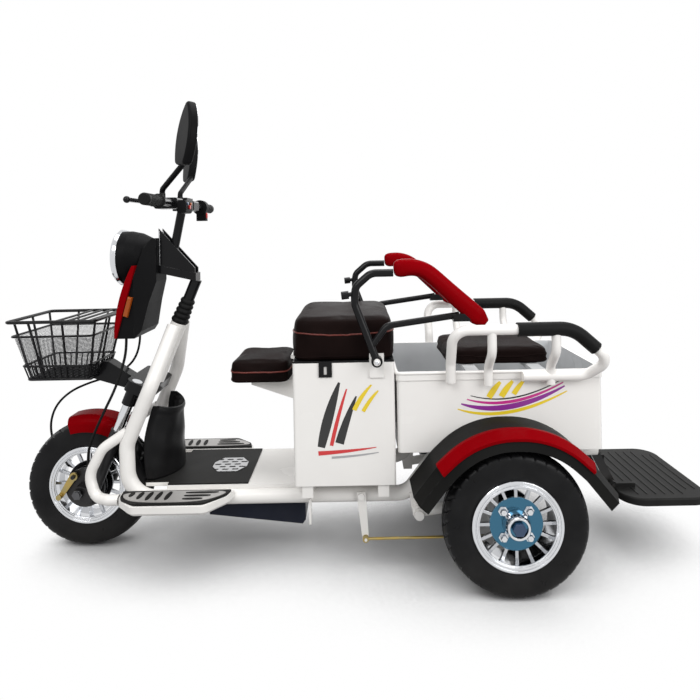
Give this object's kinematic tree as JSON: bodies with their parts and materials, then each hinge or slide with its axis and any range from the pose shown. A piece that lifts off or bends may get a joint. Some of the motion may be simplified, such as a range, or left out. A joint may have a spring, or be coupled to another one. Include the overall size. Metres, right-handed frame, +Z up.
{
  "type": "electric cargo tricycle",
  "caption": "Electric cargo tricycle with a step-through frame, front basket, padded seat over a battery box, open cargo box with side rails, and a fold-up rear footboard.",
  "frame": {"origin": "on the ground, at mid-length and on the centre plane", "axes": "+X runs to the rear, +Y to the rider's right, +Z up"},
  "size_m": [2, 0.686, 1.296],
  "materials": {
    "white_paint": "warm white gloss paint",
    "black_paint": "black gloss paint",
    "red_gloss": "deep red gloss",
    "dark_plastic": "grained dark plastic",
    "blue_grey": "dark blue-grey paint",
    "rubber_black": "ribbed black rubber",
    "tyre": "moulded tyre rubber",
    "alloy": "machined alloy",
    "chrome": "polished chrome",
    "zinc": "yellow zinc plate",
    "steel": "bright steel",
    "leatherette": "dark brown leatherette",
    "orange_lens": "orange lens",
    "clear_lens": "fluted clear lens",
    "red_button": "red button",
    "foam": "black foam"
  },
  "bodies": {
    "frame": {"main_tubes": "white_paint", "head_tube": "white_paint", "guard_loops": "white_paint", "frame_brackets": "white_paint", "floor_panel": "white_paint", "floor_mats": "rubber_black", "grip_plate": "steel", "footrests": "white_paint", "shroud": "dark_plastic", "controller_housing": "blue_grey", "seat_box": "white_paint", "battery": "dark_plastic", "child_cushion": "leatherette", "cargo_box": "white_paint", "side_rails": "white_paint", "rail_sleeves": "foam", "bench_cushion": "leatherette", "fenders": "dark_plastic", "fender_bands": "red_gloss", "rear_buffers": "rubber_black"},
    "steering": {"steering_stem": "black_paint", "stanchions": "chrome", "bellows": "rubber_black", "handlebar": "black_paint", "grip_left": "rubber_black", "lever_perches": "black_paint", "switch_housings": "dark_plastic", "front_panel": "red_gloss", "panel_inner": "dark_plastic", "signal_lenses": "orange_lens", "headlight_ring": "chrome", "headlight_lens": "clear_lens", "basket": "black_paint", "control_cables": "rubber_black"},
    "fork": {"fork_sliders": "alloy", "front_axle": "steel", "front_fender": "red_gloss"},
    "front_brake": {"brake_arm": "zinc"},
    "front_wheel": {"front_rim": "alloy", "front_tyre": "tyre"},
    "axle": {"rear_axle": "black_paint"},
    "rear_wheel_left": {"rear_rim_left": "alloy", "rear_tyre_left": "tyre"},
    "rear_wheel_right": {"rear_rim_right": "alloy", "rear_tyre_right": "tyre"},
    "throttle": {"throttle_grip": "rubber_black"},
    "lever_left": {"brake_lever_left": "black_paint"},
    "lever_right": {"brake_lever_right": "black_paint"},
    "horn": {"horn_button": "red_button"},
    "left_mirror": {"mirror_left": "dark_plastic"},
    "right_mirror": {"mirror_right": "dark_plastic"},
    "seat": {"seat_lid": "black_paint", "seat_cushion": "leatherette"},
    "arm_left": {"arm_frame_left": "black_paint", "arm_pad_left": "red_gloss"},
    "arm_right": {"arm_frame_right": "black_paint", "arm_pad_right": "red_gloss"},
    "step": {"footboard": "dark_plastic"},
    "relay": {"relay_arm": "white_paint"},
    "pull_rod": {"brake_rod": "zinc"}
  },
  "joints": [
    {"name": "steering_turn", "type": "hinge", "parent": "frame", "child": "steering", "pos_m": [-0.533, 0, 0.669], "axis": [0.3907, 0, 0.9205], "range_deg": [-30, 30]},
    {"name": "fork_slide", "type": "slide", "parent": "steering", "child": "fork", "axis": [0.3907, 0, 0.9205], "range_m": [0, 0.02], "stiffness_N_per_m": 40000, "springref_m": -0.02, "deforming": ["control_cables"]},
    {"name": "front_wheel_spin", "type": "hinge", "parent": "fork", "child": "front_wheel", "pos_m": [-0.808, 0, 0.187], "axis": [0, 1, 0], "continuous": true},
    {"name": "front_brake_turn", "type": "hinge", "parent": "fork", "child": "front_brake", "pos_m": [-0.836, -0.063, 0.225], "axis": [0, 1, 0], "range_deg": [0, 8]},
    {"name": "rear_swing", "type": "hinge", "parent": "frame", "child": "axle", "pos_m": [0.177, 0, 0.156], "axis": [0, -1, 0], "range_deg": [0, 4], "stiffness_Nm_per_rad": 2000, "springref_deg": -8.59, "deforming": ["rear_buffers"]},
    {"name": "rear_wheel_left_spin", "type": "hinge", "parent": "axle", "child": "rear_wheel_left", "pos_m": [0.411, -0.288, 0.187], "axis": [0, 1, 0], "continuous": true},
    {"name": "rear_wheel_right_spin", "type": "hinge", "parent": "axle", "child": "rear_wheel_right", "pos_m": [0.411, 0.288, 0.187], "axis": [0, 1, 0], "continuous": true},
    {"name": "throttle_turn", "type": "hinge", "parent": "steering", "child": "throttle", "pos_m": [-0.515, 0.268, 1.031], "axis": [0, 1, 0], "range_deg": [0, 70], "stiffness_Nm_per_rad": 0.3, "springref_deg": -17.19},
    {"name": "lever_left_turn", "type": "hinge", "parent": "steering", "child": "lever_left", "pos_m": [-0.552, -0.128, 1.031], "axis": [0, 0, 1], "range_deg": [0, 8], "stiffness_Nm_per_rad": 4, "springref_deg": -5.73},
    {"name": "lever_right_turn", "type": "hinge", "parent": "steering", "child": "lever_right", "pos_m": [-0.552, 0.128, 1.031], "axis": [0, 0, -1], "range_deg": [0, 8], "stiffness_Nm_per_rad": 4, "springref_deg": -5.73},
    {"name": "horn_press", "type": "slide", "parent": "steering", "child": "horn", "axis": [-1, 0, 0], "range_m": [0, 0.0025], "stiffness_N_per_m": 400, "springref_m": -0.002},
    {"name": "mirror_left_turn", "type": "hinge", "parent": "steering", "child": "left_mirror", "pos_m": [-0.549, -0.084, 1.06], "axis": [0, 0, 1], "range_deg": [-20, 20]},
    {"name": "mirror_right_turn", "type": "hinge", "parent": "steering", "child": "right_mirror", "pos_m": [-0.549, 0.084, 1.06], "axis": [0, 0, 1], "range_deg": [-20, 20]},
    {"name": "seat_hinge", "type": "hinge", "parent": "frame", "child": "seat", "pos_m": [-0.17, 0, 0.584], "axis": [0, -1, 0], "range_deg": [0, 65]},
    {"name": "arm_left_turn", "type": "hinge", "parent": "frame", "child": "arm_left", "pos_m": [0.067, -0.23, 0.59], "axis": [0, -1, 0], "range_deg": [0, 60]},
    {"name": "arm_right_turn", "type": "hinge", "parent": "frame", "child": "arm_right", "pos_m": [0.067, 0.23, 0.59], "axis": [0, -1, 0], "range_deg": [0, 60]},
    {"name": "footboard_fold", "type": "hinge", "parent": "frame", "child": "step", "pos_m": [0.748, 0, 0.19], "axis": [0, -1, 0], "range_deg": [0, 80]},
    {"name": "relay_turn", "type": "hinge", "parent": "frame", "child": "relay", "pos_m": [0.018, -0.157, 0.196], "axis": [0, 1, 0], "range_deg": [0, 8]},
    {"name": "pull_rod_turn", "type": "hinge", "parent": "relay", "child": "pull_rod", "pos_m": [0.029, -0.165, 0.081], "axis": [0, 1, 0], "range_deg": [-8, 0]}
  ],
  "couplings": [
    {"joint": "front_brake_turn", "follows": "lever_right_turn", "ratio": 0.9},
    {"joint": "relay_turn", "follows": "lever_left_turn", "ratio": 0.9},
    {"joint": "pull_rod_turn", "follows": "lever_left_turn", "ratio": -0.9}
  ]
}
